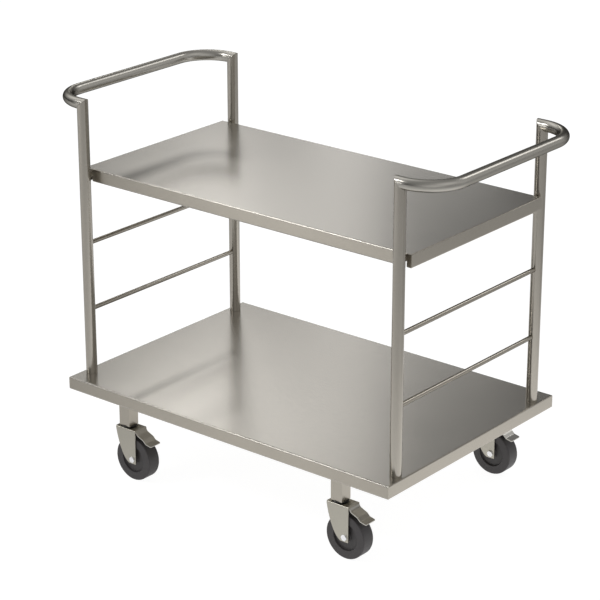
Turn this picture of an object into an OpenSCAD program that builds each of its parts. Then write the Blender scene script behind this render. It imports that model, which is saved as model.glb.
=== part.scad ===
// Flat top trolley: a welded stainless steel trolley on four braked swivel casters.
// A wide base shelf carries four round uprights. A narrower flat top shelf hangs between them
// on two cross rods, and a bent tube handle joins the uprights at each end.
// Millimetres, +Z up, X along the trolley, origin on the floor under its centre.
// Front is -Y, left is -X.

/* [Base shelf] */
// Length of the base shelf, along X
base_length = 900; // [800:10:1200]
// Width of the base shelf, along Y
base_width = 600; // [520:10:760]
// Height of the base shelf's surface above the floor
base_height = 210; // [196:1:250]
// Depth of the base shelf's turned down edges
base_edge = 30; // [24:1:40]

/* [Top shelf] */
// Height of the top shelf's surface above the floor
top_height = 688; // [620:1:750]
// Depth of the top shelf's turned down edges
top_edge = 30; // [24:1:40]
// How far each end of the top shelf passes the upright axes
top_end_past = 17; // [14:0.5:40]
// Gap between the top shelf's long sides and the uprights
top_side_gap = 5.3; // [2:0.1:12]

/* [Shelf sheet] */
// Thickness of the shelf sheet
sheet = 1.2; // [0.8:0.1:1.8]
// Width of the lip folded in under each edge
lip = 11; // [8:0.5:14]
// Outer radius of the folds
fold_r = 2; // [2:0.1:3.5]

/* [Uprights and handles] */
// Outer diameter of the upright and handle tube
tube_d = 25.4; // [22:0.1:30]
// Wall of the upright and handle tube
tube_wall = 1.5; // [1:0.1:2.5]
// Upright axis inboard from the base shelf's end
upright_inset_x = 21; // [18:0.5:60]
// Upright axis inboard from the base shelf's long side
upright_inset_y = 52; // [20:0.5:80]
// Height of the top of the handles above the floor
handle_height = 851; // [800:1:1000]
// Straight leg from each upright to the handle's bend
handle_leg = 8; // [4:0.5:60]
// Bend radius of the handles, on the tube's axis
handle_bend_r = 82.5; // [40:0.5:120]

/* [Cross rods] */
// Diameter of the cross rods
rod_d = 10; // [7:0.5:12]
// Height of the lower rods' axes above the floor
low_rod_height = 362; // [280:1:440]
// Height of the middle rods' axes above the floor
mid_rod_height = 518; // [460:1:590]
// Depth of the carrying rods' axes below the top shelf's surface
shelf_rod_drop = 13.4; // [10:0.1:18]

/* [Posts and rails] */
// Side of the square caster posts
post_side = 30; // [26:1:38]
// Wall of the caster posts
post_wall = 2; // [1.5:0.1:3]
// Post axis inboard from the base shelf's end
post_inset_x = 149; // [90:1:200]
// Post axis inboard from the base shelf's long side
post_inset_y = 34.3; // [34:0.1:90]
// Side of the square rails under the base shelf
rail_side = 25; // [18:1:28]
// Wall of the rails
rail_wall = 1.5; // [1:0.1:2.5]

/* [Caster wheel] */
// Diameter of the wheels
wheel_d = 100; // [90:1:110]
// Width of the wheels
wheel_width = 32; // [28:0.5:38]
// Radius of the wheel's core, inside the tyre
core_r = 28; // [22:0.5:34]
// Radius of the axle sleeve that the wheel turns on
sleeve_r = 6.5; // [6:0.1:8]
// Radius of the axle bolt
bolt_r = 4; // [3:0.1:5]
// Axle behind the swivel axis, which lets the caster trail
trail = 25; // [22:0.5:32]

/* [Caster fork] */
// Height of the post's lower end above the top of the wheel
headroom = 25; // [24:0.5:34]
// Thickness of the fork's sheet
fork_sheet = 2; // [1.6:0.1:2.4]
// Reach of the fork's crown behind the swivel axis
crown_back = 22.5; // [21:0.5:28]
// Half width of the fork's lower tips round the axle
fork_tip = 10.3; // [9:0.1:13]
// Radius of the kingpin
kingpin_r = 6; // [5:0.1:6.6]
// Radius of the fixed race under the post
race_r = 18.5; // [17.5:0.1:19]
// Diameter of the race balls
ball_d = 4.5; // [4:0.1:5]
// Number of balls in each race
ball_count = 12; // [8:1:12]

/* [Brake pedal] */
// Thickness of the pedal's sheet
pedal_sheet = 2; // [1.6:0.1:2.4]
// Radius of the pedal's pivot pin
pivot_r = 2.5; // [2:0.1:2.8]
// How far the pedal turns to press its shoe on the tyre, in degrees
brake_travel = 12; // [9:0.5:13]

/* [Hidden] */
$fn = 48;

// Named clearances
run_fit = 0.08;
seat_fit = 0.05;
ball_seat = 0.1;
ball_gap = 0.25;
side_play = 0.5;
brake_gap = 0.4;
slot_gap = 0.1;
cut = 1;

// Places of the uprights and posts, measured from the trolley's centre
upright_x = base_length / 2 - upright_inset_x;
upright_y = base_width / 2 - upright_inset_y;
post_x = base_length / 2 - post_inset_x;
post_y = base_width / 2 - post_inset_y;
tube_r = tube_d / 2;
rod_r = rod_d / 2;
base_under = base_height - sheet;
top_under = top_height - sheet;
shelf_rod_height = top_height - shelf_rod_drop;

// The handles: axis height, and reach of their outer run past the uprights
handle_z = handle_height - tube_r;
handle_reach = handle_leg + handle_bend_r;
handle_run = 2 * (upright_y - handle_bend_r);

// The top shelf fits between the uprights
top_length = 2 * (upright_x + top_end_past);
top_width = 2 * (upright_y - tube_r - top_side_gap);
stiffener_height = 20;
stiffener_web = 44;
stiffener_foot = 16;
stiffener_end_gap = 12;

// The caster, in its own frame: swivel axis at x = y = 0, floor at z = 0
wheel_r = wheel_d / 2;
mount_z = wheel_d + headroom;
plug_reach = 40;
plug_room = 10;
plug_height = min(plug_reach, base_under - mount_z - plug_room);
fork_gap = wheel_width + 2;
fork_width = fork_gap + 2 * fork_sheet;
crown_drop = 3.5;
crown_top = mount_z - crown_drop;
crown_under = crown_top - fork_sheet;
fork_front = trail + fork_tip;
fork_fold_r = fork_sheet + 0.5;
tip_round = 1.2;

// The fork's raked back edge: how its curve leaves the crown and reaches the tip
rake_start = [1.6, 19];
rake_end = [31.6, 9.3];

// The ball race: a pressed dish in the crown, a fixed race above it and the balls between
race_disc = 2;
inner_land = 2.25;
outer_land = 0.8;
ball_sink = 1.4;
ball_r = ball_d / 2;
ball_pitch_r = kingpin_r + ball_r + inner_land;
ball_z = crown_top - ball_sink - ball_r;
race_step_r = ball_pitch_r + ball_r + outer_land;
dish_r = race_step_r + side_play;
dish_floor = ball_z - ball_r - ball_seat;
dish_lip = 0.85;
race_lip = 1.5;
kingpin_head_r = 9.5;
kingpin_head = 4;
pin_chamfer = 1;

// The wheel
tread_round = 1.8;
recess_past = 3.2;
recess_r = core_r + recess_past;
recess_slope = 1.4;
recess_depth = 4.8;
hub_wall = 3.5;
hub_r = sleeve_r + hub_wall;

// The axle bolt's head and nut, across their corners, and their heights
hex_per_bolt = 1.9;
hex_r = bolt_r * hex_per_bolt;
bolt_head = 3;
nut_height = 6;
bolt_end = 2;

// The pedal's pivot, and its sheet's middle line as [straight, turn, bend radius]
pivot_back = 11;
pivot_drop = 8;
pivot_x = fork_front - pivot_back;
pivot_z = crown_top - pivot_drop;
barrel_wall = 1.7;
barrel_r = pivot_r + barrel_wall;
barrel_half = 10.9;
lug_gap = 0.3;
lug_half = 3.5;
lug_sheet = 2;
slot_past = 3.2;
crown_slot_x = pivot_x + slot_past;
leaf_x = crown_slot_x + side_play;
pedal_width = fork_gap - 2 * side_play;
PEDAL_PATH = [[3.4, -60, 5], [3.5, 38, 12], [12.4, -22, 12], [6.1, 32, 6], [13.8, 0, 1]];
lip_round = 3.5;
shoe_half = 9;
shoe_from = 17;
shoe_length = 13;
shoe_reach = 4;
shoe_bottom = wheel_d - shoe_reach;

CORNERS = [
    ["front_left", -1, -1],
    ["front_right", 1, -1],
    ["rear_left", -1, 1],
    ["rear_right", 1, 1]
];
ENDS = [["left", -1], ["right", 1]];
ROD_LEVELS = [
    ["lower", low_rod_height],
    ["middle", mid_rod_height],
    ["shelf", shelf_rod_height]
];
CASTER_PARTS = [
    "post_plug", "kingpin", "fixed_race", "race_balls", "fork",
    "axle_set", "wheel_core", "wheel_tyre", "brake_pedal"
];

STAINLESS = [0.66, 0.65, 0.62];
SATIN = [0.58, 0.57, 0.54];
ZINC = [0.74, 0.74, 0.72];
OLIVE = [0.40, 0.39, 0.34];
CHARCOAL = [0.27, 0.26, 0.26];
GRAPHITE = [0.23, 0.22, 0.22];
BRIGHT = [0.88, 0.88, 0.90];
BLACK = [0.12, 0.12, 0.12];

// Points along an arc, from angle a to angle b
function arc(centre, r, a, b, steps = 5) =
    [for (i = [0:steps]) let (t = a + (b - a) * i / steps) centre + r * [cos(t), sin(t)]];

// A point on a cubic curve through p[0] and p[3], drawn towards p[1] and p[2]
function curve_point(p, t) =
    pow(1 - t, 3) * p[0] + 3 * t * pow(1 - t, 2) * p[1]
    + 3 * t * t * (1 - t) * p[2] + pow(t, 3) * p[3];

// The bend that a move [straight, turn, radius] makes from point p on heading h
function bend(p, h, move, steps = 4) =
    let (s = sign(move[1]), r = move[2], centre = p + s * r * [-sin(h), cos(h)])
    [for (i = [1:steps]) let (a = h + move[1] * i / steps)
        [each centre + s * r * [sin(a), -cos(a)], a]];

// Stations [x, z, heading] along a strip that goes straight and then bends, move by move
function walk(moves, p, h = 0, i = 0) =
    i == len(moves) ? [[p[0], p[1], h]] :
    let (
        q = p + moves[i][0] * [cos(h), sin(h)],
        turned = moves[i][1] == 0 ? [] : bend(q, h, moves[i]),
        last = len(turned) == 0 ? [q[0], q[1], h] : turned[len(turned) - 1]
    )
    concat([[p[0], p[1], h]], len(turned) == 0 ? [] : [[q[0], q[1], h]],
        len(turned) == 0 ? [] : [for (k = [0:len(turned) - 2]) turned[k]],
        walk(moves, [last[0], last[1]], last[2], i + 1));

// Points to the left of a path's stations, by a distance
function beside(stations, d) =
    [for (s = stations) [s[0] - d * sin(s[2]), s[1] + d * cos(s[2])]];

// The pedal's sheet from the side: its middle line, top and underside
PEDAL_LINE = walk(PEDAL_PATH, [leaf_x, crown_top - pedal_sheet / 2]);
PEDAL_TOP = beside(PEDAL_LINE, pedal_sheet / 2);
PEDAL_UNDER = beside(PEDAL_LINE, -pedal_sheet / 2);
pedal_end = max([for (p = PEDAL_TOP) p[0]]);

// Extrudes an outline drawn in x and z along Y, centred
module along_y(length) {
    rotate([90, 0, 0])
        linear_extrude(height = length, center = true)
            children();
}

// Extrudes an outline drawn in y and z along X, centred
module along_x(length) {
    rotate([90, 0, 90])
        linear_extrude(height = length, center = true)
            children();
}

// A round bar along Y, centred on [x, z]
module bar_y(r, length, x, z) {
    translate([x, 0, z])
        rotate([90, 0, 0])
            cylinder(r = r, h = length, center = true);
}

// A square tube standing on z = 0
module square_tube(side, wall, length) {
    difference() {
        translate([-side / 2, -side / 2, 0])
            cube([side, side, length]);
        translate([wall - side / 2, wall - side / 2, -cut])
            cube([side - 2 * wall, side - 2 * wall, length + 2 * cut]);
    }
}

// Section of a shelf's edge: u inwards from the outer face, v down from the surface
function fold_section(drop) = concat(
    [[lip + cut, 0]],
    arc([fold_r, -fold_r], fold_r, 90, 180, 4),
    arc([fold_r, fold_r - drop], fold_r, 180, 270, 4),
    [[lip, -drop], [lip, sheet - drop]],
    arc([fold_r, fold_r - drop], fold_r - sheet, 270, 180, 4),
    arc([fold_r, -fold_r], fold_r - sheet, 180, 90, 4),
    [[lip + cut, -sheet]]
);

// One folded edge at -Y, mitred at both ends
module folded_edge(length, half_width, drop) {
    inner = lip + cut;
    intersection() {
        along_x(length)
            polygon([for (p = fold_section(drop)) [p[0] - half_width, p[1]]]);
        translate([0, 0, -drop - cut])
            linear_extrude(height = drop + 2 * cut)
                polygon([
                    [-length / 2, -half_width], [length / 2, -half_width],
                    [length / 2 - inner, inner - half_width], [inner - length / 2, inner - half_width]
                ]);
    }
}

// A folded sheet tray, open below, with its surface at z = 0
module tray(length, width, drop) {
    translate([0, 0, -sheet / 2])
        cube([length - 2 * lip, width - 2 * lip, sheet], center = true);
    for (side = [0, 1]) {
        mirror([0, side, 0])
            folded_edge(length, width / 2, drop);
        mirror([side, 0, 0])
            rotate([0, 0, 90])
                folded_edge(width, length / 2, drop);
    }
}

module base_shelf() {
    color(STAINLESS)
        translate([0, 0, base_height])
            tray(base_length, base_width, base_edge);
}

// The slots in its long edges let it down over the two carrying rods
module top_shelf() {
    slot_r = rod_r + slot_gap;
    color(STAINLESS)
        difference() {
            translate([0, 0, top_height])
                tray(top_length, top_width, top_edge);
            for (x = [-upright_x, upright_x], side = [-1, 1])
                translate([0, side * top_width / 2, 0]) {
                    bar_y(slot_r, 2 * (lip + cut), x, shelf_rod_height);
                    translate([x - slot_r, -lip - cut, top_height - top_edge - cut])
                        cube([2 * slot_r, 2 * (lip + cut), top_edge + cut - shelf_rod_drop]);
                }
        }
}

// A folded top hat channel along the middle of the top shelf's underside
module top_shelf_stiffener() {
    w = stiffener_web / 2;
    f = w + stiffener_foot;
    h = stiffener_height;
    color(SATIN)
        translate([0, 0, top_under])
            along_x(2 * (upright_x - rod_r - stiffener_end_gap))
                polygon([
                    [-f, 0], [-w, 0], [-w, sheet - h], [w, sheet - h], [w, 0], [f, 0],
                    [f, -sheet], [w + sheet, -sheet], [w + sheet, -h],
                    [-w - sheet, -h], [-w - sheet, -sheet], [-f, -sheet]
                ]);
}

// A cross rail joins the two posts of one end, under the base shelf
module cross_rail(side) {
    length = 2 * post_y - post_side;
    color(SATIN)
        translate([side * post_x, length / 2, base_under - rail_side / 2])
            rotate([90, 0, 0])
                square_tube(rail_side, rail_wall, length);
}

module centre_rail() {
    length = 2 * post_x - rail_side;
    color(SATIN)
        translate([-length / 2, 0, base_under - rail_side / 2])
            rotate([0, 90, 0])
                square_tube(rail_side, rail_wall, length);
}

// A round upright on the base shelf's surface, mitred at its top
module upright(side_x, side_y) {
    height = handle_z - base_height + 2 * tube_r;
    color(STAINLESS)
        mirror([side_x < 0 ? 1 : 0, 0, 0])
            intersection() {
                translate([upright_x, side_y * upright_y, base_height])
                    difference() {
                        cylinder(r = tube_r, h = height);
                        translate([0, 0, -cut])
                            cylinder(r = tube_r - tube_wall, h = height + 2 * cut);
                    }
                mitre_side(true);
            }
}

// What lies below or above the mitre, a plane at 45 degrees through the corner at +X
module mitre_side(below) {
    corner = [upright_x, handle_z];
    reach = handle_reach + 4 * tube_r;
    slope = [[-reach, reach], [reach, -reach]];
    rest = below ? [[reach, -handle_z], [-reach, -handle_z]] : [[reach, reach]];
    along_y(4 * upright_y)
        polygon([for (p = concat(slope, rest)) corner + p]);
}

// The handle's tube at radius r: leg, bend, outer run, bend and leg
module handle_sweep(r) {
    translate([upright_x, 0, handle_z]) {
        for (side = [0, 1])
            mirror([0, side, 0]) {
                translate([-2 * tube_r, -upright_y, 0])
                    rotate([0, 90, 0])
                        cylinder(r = r, h = handle_leg + 2 * tube_r);
                translate([handle_leg, handle_bend_r - upright_y, 0])
                    rotate([0, 0, -90])
                        rotate_extrude(angle = 90, $fn = 96)
                            translate([handle_bend_r, 0])
                                circle(r = r);
            }
        translate([handle_reach, handle_run / 2, 0])
            rotate([90, 0, 0])
                cylinder(r = r, h = handle_run);
    }
}

module handle(side_x) {
    color(STAINLESS)
        mirror([side_x < 0 ? 1 : 0, 0, 0])
            intersection() {
                difference() {
                    handle_sweep(tube_r);
                    handle_sweep(tube_r - tube_wall);
                }
                mitre_side(false);
            }
}

// A cross rod between two uprights, coped to their tubes
module cross_rod(side_x, height) {
    color(STAINLESS)
        difference() {
            bar_y(rod_r, 2 * upright_y, side_x * upright_x, height);
            for (side_y = [-1, 1])
                translate([side_x * upright_x, side_y * upright_y, height - rod_d])
                    cylinder(r = tube_r + seat_fit, h = 2 * rod_d);
        }
}

module post() {
    color(STAINLESS)
        translate([0, 0, mount_z])
            square_tube(post_side, post_wall, base_under - mount_z);
}

// A drilled plug pressed into the post's lower end, which takes the kingpin's thread
module post_plug() {
    side = post_side - 2 * (post_wall + seat_fit);
    color(BLACK)
        translate([0, 0, mount_z])
            difference() {
                translate([-side / 2, -side / 2, 0])
                    cube([side, side, plug_height]);
                translate([0, 0, -cut])
                    cylinder(r = kingpin_r + seat_fit, h = plug_height + 2 * cut);
            }
}

// The kingpin: a headed pin that carries the fork's dish and screws into the plug
module kingpin() {
    under = dish_floor - fork_sheet - ball_gap;
    pin_top = mount_z + plug_height;
    color(ZINC)
        rotate_extrude()
            polygon([
                [0, under - kingpin_head], [kingpin_head_r - pin_chamfer, under - kingpin_head],
                [kingpin_head_r, under - kingpin_head + pin_chamfer], [kingpin_head_r, under],
                [kingpin_r, under], [kingpin_r, pin_top - pin_chamfer],
                [kingpin_r - pin_chamfer, pin_top], [0, pin_top]
            ]);
}

// The fixed race: a turned disc against the post, with a ball groove underneath
module fixed_race() {
    inner = kingpin_r + seat_fit;
    color(BLACK)
        rotate_extrude()
            difference() {
                polygon(concat(
                    [[inner, mount_z], [inner, ball_z + race_lip], [race_step_r, ball_z + race_lip],
                        [race_step_r, mount_z - race_disc]],
                    arc([race_r - race_disc / 2, mount_z - race_disc / 2], race_disc / 2, -90, 90, 6)
                ));
                translate([ball_pitch_r, ball_z])
                    circle(r = ball_r + ball_gap, $fn = 32);
            }
}

module race_balls() {
    color(BRIGHT)
        for (i = [0:ball_count - 1])
            rotate([0, 0, 360 * i / ball_count])
                translate([ball_pitch_r, 0, ball_z])
                    sphere(r = ball_r, $fn = 20);
}

// Side view of the fork: crown along the top, raked back edge, blunt tip round the axle
module fork_side() {
    tip_z = wheel_r - fork_tip;
    back = [
        [-crown_back, crown_top], [rake_start[0] - crown_back, crown_top - rake_start[1]],
        [trail - rake_end[0], tip_z + rake_end[1]], [trail - fork_tip, tip_z]
    ];
    polygon(concat(
        [for (i = [0:11]) curve_point(back, i / 12)],
        [curve_point(back, 1)],
        arc([fork_front - tip_round, tip_z + tip_round], tip_round, -90, 0, 3),
        [[fork_front, crown_top]]
    ));
}

// Front view of the fork: an inverted channel with folded corners
module fork_channel() {
    outer = fork_width / 2;
    inner = fork_gap / 2;
    corner = [outer - fork_fold_r, crown_top - fork_fold_r];
    right = concat(
        arc(corner, fork_fold_r, 90, 0, 4),
        [[outer, 0], [inner, 0]],
        arc(corner, fork_fold_r - fork_sheet, 0, 90, 2)
    );
    polygon(concat(right, [for (i = [len(right) - 1:-1:0]) [-right[i][0], right[i][1]]]));
}

// The ball dish pressed down into the crown, as a revolved section
module fork_dish() {
    outer = dish_r + fork_sheet;
    inner = kingpin_r + run_fit;
    floor_top = ball_z - ball_r + dish_lip;
    rotate_extrude()
        difference() {
            polygon([
                [inner, dish_floor - fork_sheet], [outer, dish_floor - fork_sheet],
                [outer, crown_under + fork_sheet / 2], [dish_r, crown_under + fork_sheet / 2],
                [dish_r, floor_top], [inner, floor_top]
            ]);
            translate([ball_pitch_r, ball_z])
                circle(r = ball_r + ball_seat, $fn = 32);
        }
}

// Two lugs under the crown hold the pedal's pivot pin, inside the cheeks
module pivot_lugs() {
    for (side = [-1, 1])
        translate([0, side * (barrel_half + lug_gap + lug_sheet / 2), 0])
            along_y(lug_sheet)
                polygon(concat(
                    [[pivot_x + lug_half, crown_under + cut], [pivot_x - lug_half, crown_under + cut]],
                    arc([pivot_x, pivot_z], lug_half, 180, 360, 8)
                ));
}

module fork() {
    color(STAINLESS)
        difference() {
            union() {
                intersection() {
                    along_y(2 * fork_width)
                        fork_side();
                    along_x(4 * fork_front)
                        fork_channel();
                }
                fork_dish();
                pivot_lugs();
            }
            translate([0, 0, ball_z - ball_r + dish_lip])
                cylinder(r = dish_r, h = crown_top);
            translate([crown_slot_x, -fork_gap / 2, crown_under - cut])
                cube([fork_front, fork_gap, fork_sheet + 2 * cut]);
            bar_y(bolt_r + seat_fit, 2 * fork_width, trail, wheel_r);
            bar_y(pivot_r + seat_fit, fork_gap - cut, pivot_x, pivot_z);
        }
}

// A hexagon on the axle, from one y to another
module hex_along_y(from, to) {
    translate([trail, to, wheel_r])
        rotate([90, 30, 0])
            cylinder(r = hex_r, h = to - from, $fn = 6);
}

// The axle bolt with its nut and spacer sleeve, and the pedal's pivot pin
module axle_set() {
    face = fork_width / 2;
    color(BRIGHT) {
        hex_along_y(-face - bolt_head, -face);
        translate([trail, face + nut_height + bolt_end, wheel_r])
            rotate([90, 0, 0])
                cylinder(r = bolt_r, h = 2 * face + nut_height + bolt_end + cut);
    }
    color(ZINC) {
        difference() {
            hex_along_y(face, face + nut_height);
            bar_y(bolt_r + seat_fit, 4 * face, trail, wheel_r);
        }
        difference() {
            bar_y(sleeve_r, fork_gap, trail, wheel_r);
            bar_y(bolt_r + seat_fit, 2 * fork_gap, trail, wheel_r);
        }
        bar_y(pivot_r, 2 * (barrel_half + lug_gap + lug_sheet), pivot_x, pivot_z);
    }
}

// Turns a section drawn in radius and width into a piece on the wheel's axle
module on_axle() {
    translate([trail, 0, wheel_r])
        rotate([90, 0, 0])
            rotate_extrude($fn = 96)
                children();
}

module wheel_core() {
    hub = (fork_gap - 2 * side_play) / 2;
    web = wheel_width / 2 - recess_depth;
    bore = sleeve_r + run_fit;
    color(GRAPHITE)
        on_axle()
            polygon([
                [bore, -hub], [hub_r, -hub], [hub_r, -web], [core_r, -web],
                [core_r, web], [hub_r, web], [hub_r, hub], [bore, hub]
            ]);
}

module wheel_tyre() {
    half = wheel_width / 2;
    web = half - recess_depth;
    inner = core_r + seat_fit;
    corner = [wheel_r - tread_round, half - tread_round];
    upper = concat(
        [[inner, web], [recess_r - recess_slope, web], [recess_r, half]],
        arc(corner, tread_round, 90, 0, 4)
    );
    color(CHARCOAL)
        on_axle()
            polygon(concat(upper, [for (i = [len(upper) - 1:-1:0]) [upper[i][0], -upper[i][1]]]));
}

// The pedal seen from above, with its two outer corners rounded
module pedal_plan() {
    half = pedal_width / 2;
    translate([leaf_x - cut, -half])
        square([pedal_end - lip_round - leaf_x + cut, pedal_width]);
    translate([pedal_end - lip_round - cut, lip_round - half])
        square([lip_round + cut, pedal_width - 2 * lip_round]);
    for (side = [-1, 1])
        translate([pedal_end - lip_round, side * (half - lip_round)])
            circle(r = lip_round);
}

// The wheel as the pressed pedal meets it, seen from the pedal
module pressed_wheel(r) {
    translate([pivot_x, 0, pivot_z])
        rotate([0, -brake_travel, 0])
            bar_y(r, fork_gap, trail - pivot_x, wheel_r - pivot_z);
}

// The brake shoe fills the space between the pedal and the tyre's curve
module brake_shoe() {
    from = leaf_x + shoe_from;
    difference() {
        intersection() {
            along_y(2 * shoe_half)
                polygon(concat(beside(PEDAL_LINE, 0), [[pedal_end, shoe_bottom], [leaf_x, shoe_bottom]]));
            translate([from, -fork_gap, 0])
                cube([shoe_length, 2 * fork_gap, mount_z]);
        }
        pressed_wheel(wheel_r + brake_gap);
    }
}

// The pedal turns on a barrel round its pivot pin
module brake_pedal() {
    web_top = crown_top - pedal_sheet / 2;
    web_in = 0.4;
    web_foot = 4;
    web_side = 1;
    color(OLIVE)
        difference() {
            union() {
                intersection() {
                    along_y(pedal_width)
                        polygon(concat(PEDAL_TOP, [for (i = [len(PEDAL_UNDER) - 1:-1:0]) PEDAL_UNDER[i]]));
                    linear_extrude(height = mount_z)
                        pedal_plan();
                }
                bar_y(barrel_r, 2 * barrel_half, pivot_x, pivot_z);
                along_y(2 * barrel_half)
                    polygon([
                        [pivot_x + web_side, pivot_z + barrel_r - web_side],
                        [leaf_x + web_in, crown_under - web_in],
                        [leaf_x + web_in, web_top], [leaf_x + web_foot, web_top],
                        [pivot_x + barrel_r - web_in, pivot_z - web_side]
                    ]);
                brake_shoe();
            }
            bar_y(pivot_r + run_fit, 4 * barrel_half, pivot_x, pivot_z);
        }
}

// Draws one of a caster's pieces in the caster's own frame
module caster_part(part) {
    if (part == "post_plug") post_plug();
    if (part == "kingpin") kingpin();
    if (part == "fixed_race") fixed_race();
    if (part == "race_balls") race_balls();
    if (part == "fork") fork();
    if (part == "axle_set") axle_set();
    if (part == "wheel_core") wheel_core();
    if (part == "wheel_tyre") wheel_tyre();
    if (part == "brake_pedal") brake_pedal();
}

base_shelf();
top_shelf();
top_shelf_stiffener();
centre_rail();
for (e = ENDS) {
    cross_rail(e[1]);
    handle(e[1]);
    for (l = ROD_LEVELS)
        cross_rod(e[1], l[1]);
}
for (c = CORNERS) {
    upright(c[1], c[2]);
    translate([c[1] * post_x, c[2] * post_y, 0]) {
        post();
        for (p = CASTER_PARTS)
            caster_part(p);
    }
}
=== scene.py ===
# %% [markdown]
# # A flat top trolley
#
# The trolley is welded from satin stainless steel: two folded sheet shelves, round tube
# uprights and handles, thin cross rods, and four braked swivel casters. This lesson starts
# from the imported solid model, which fixes every size and every joint, and gives each piece
# the edges, curves and finish of the real one. Everything is in metres, with Z up, the long
# side along X and the front at -Y.

# %% Load the frame
import math

import bmesh
import bpy
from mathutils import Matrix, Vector


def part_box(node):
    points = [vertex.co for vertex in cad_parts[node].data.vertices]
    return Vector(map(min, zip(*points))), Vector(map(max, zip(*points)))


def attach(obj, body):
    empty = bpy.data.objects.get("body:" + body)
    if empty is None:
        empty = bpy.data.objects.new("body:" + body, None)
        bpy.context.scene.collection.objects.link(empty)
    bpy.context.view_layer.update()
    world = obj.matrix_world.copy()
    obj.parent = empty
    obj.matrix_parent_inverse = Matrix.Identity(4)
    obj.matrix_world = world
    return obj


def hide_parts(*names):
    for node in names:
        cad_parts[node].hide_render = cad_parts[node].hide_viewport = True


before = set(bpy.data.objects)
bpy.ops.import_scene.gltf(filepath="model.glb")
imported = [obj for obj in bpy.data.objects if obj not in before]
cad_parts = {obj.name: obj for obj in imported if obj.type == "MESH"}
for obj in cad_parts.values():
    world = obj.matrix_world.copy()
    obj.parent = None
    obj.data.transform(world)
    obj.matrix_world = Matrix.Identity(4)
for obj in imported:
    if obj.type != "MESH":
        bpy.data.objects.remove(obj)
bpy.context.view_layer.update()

# %% [markdown]
# The photograph was taken from the front right, a little above, with a long lens. A camera
# could be set by eye, but one that is worked out lets the render be laid over the photograph.
# Its angle comes from the straight edges of the shelves, so it is written as an azimuth, an
# elevation and a distance from the point it looks at.

# %% Camera
MM = 0.001
CAMERA_AZIMUTH = 39.191
CAMERA_ELEVATION = 21.153
CAMERA_DISTANCE = 5.01086
CAMERA_TARGET = Vector((-0.02455, 0.0, 0.40844))
CAMERA_LENS = 136.4476
SENSOR_WIDTH = 36.0
NEAREST_SEEN = 0.1
FARTHEST_SEEN = 100.0


def toward(azimuth, elevation):
    """The direction from the trolley towards this azimuth, from the front, and elevation."""
    a, e = math.radians(azimuth), math.radians(elevation)
    return Vector((math.sin(a) * math.cos(e), -math.cos(a) * math.cos(e), math.sin(e)))


camera = bpy.data.objects.new("camera", bpy.data.cameras.new("camera"))
bpy.context.scene.collection.objects.link(camera)
camera.data.lens = CAMERA_LENS
camera.data.sensor_width = SENSOR_WIDTH
camera.data.clip_start = NEAREST_SEEN
camera.data.clip_end = FARTHEST_SEEN
camera.location = CAMERA_TARGET + toward(CAMERA_AZIMUTH, CAMERA_ELEVATION) * CAMERA_DISTANCE
camera.rotation_euler = (
    math.radians(90 - CAMERA_ELEVATION), 0, math.radians(CAMERA_AZIMUTH))
bpy.context.scene.camera = camera
print("camera at", [round(v, 3) for v in camera.location])

# %% [markdown]
# A material here is a small graph of nodes. It could be drawn by hand in the shader editor,
# but built in code it can be read, and many finishes can share it. All finishes of the
# trolley read Object coordinates: each piece sits at the origin with its place in its mesh,
# so the pattern stays fixed to the steel when a caster turns. `step` adds one node and feeds
# it, and the other helpers are short chains of steps.

# %% Material helpers
NOISE_LOW = 0.3
NOISE_HIGH = 0.7


def new_material(name):
    """A new material, its node tree and its Principled shader."""
    material = bpy.data.materials.new(name)
    material.use_nodes = True
    return material, material.node_tree, material.node_tree.nodes["Principled BSDF"]


def feed(tree, node, inputs):
    """Gives each input of a node a value, or the output that feeds it."""
    for name, value in inputs.items():
        if isinstance(value, bpy.types.NodeSocket):
            tree.links.new(value, node.inputs[name])
        else:
            node.inputs[name].default_value = value


def step(tree, kind, inputs, **settings):
    """Adds a node with its own settings, feeds it and returns its outputs."""
    node = tree.nodes.new(kind)
    for name, value in settings.items():
        setattr(node, name, value)
    feed(tree, node, inputs)
    return node.outputs


def math_node(tree, operation, *values):
    """A Math node whose inputs are given as numbers or as outputs."""
    return step(tree, "ShaderNodeMath", dict(enumerate(values)), operation=operation)[0]


def stretched_noise(tree, stretch, scale, detail=3.0, roughness=0.6):
    """Noise on Object coordinates, squeezed along each axis: small numbers draw it out."""
    place = step(tree, "ShaderNodeTexCoord", {})["Object"]
    squeezed = step(tree, "ShaderNodeMapping", {"Vector": place, "Scale": stretch})["Vector"]
    return step(tree, "ShaderNodeTexNoise", {
        "Vector": squeezed, "Scale": scale, "Detail": detail, "Roughness": roughness})["Fac"]


def ramp(tree, noise, low, high):
    """Turns the middle stretch of a noise, where most of it lies, into low to high."""
    return step(tree, "ShaderNodeMapRange", {
        "Value": noise, "From Min": NOISE_LOW, "From Max": NOISE_HIGH,
        "To Min": low, "To Max": high})["Result"]


def shaded(tree, color, factor):
    """The colour multiplied by a grey factor."""
    return step(
        tree, "ShaderNodeVectorMath", {0: color, "Scale": factor}, operation="SCALE")[0]


def bump(tree, shader, height, depth):
    """Tilts the light on the surface as if the noise were a relief of this depth."""
    normal = step(tree, "ShaderNodeBump", {
        "Height": height, "Strength": 1.0, "Distance": depth})["Normal"]
    feed(tree, shader, {"Normal": normal})


print("material helpers ready")

# %% [markdown]
# Satin stainless steel is ground with a fine belt, which leaves short scratches in one
# direction. Each scratch tilts the surface a little across the belt, so a reflection is
# blurred. A picture of scratches would show its seams and repeats, so a noise is drawn out
# along the grain instead: it gives the speckle in the colour and a very shallow bump. A
# second, much larger noise stands for handling marks, and changes how sharp the reflections
# are. On the long folded sides the scratches run level, so a reflection is spread upright and
# stays narrow along the side: that is what the tangent is for. The thin round pieces are made
# to mirror less at their very rims, where a lamp behind them would draw a hard dotted line.

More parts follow.
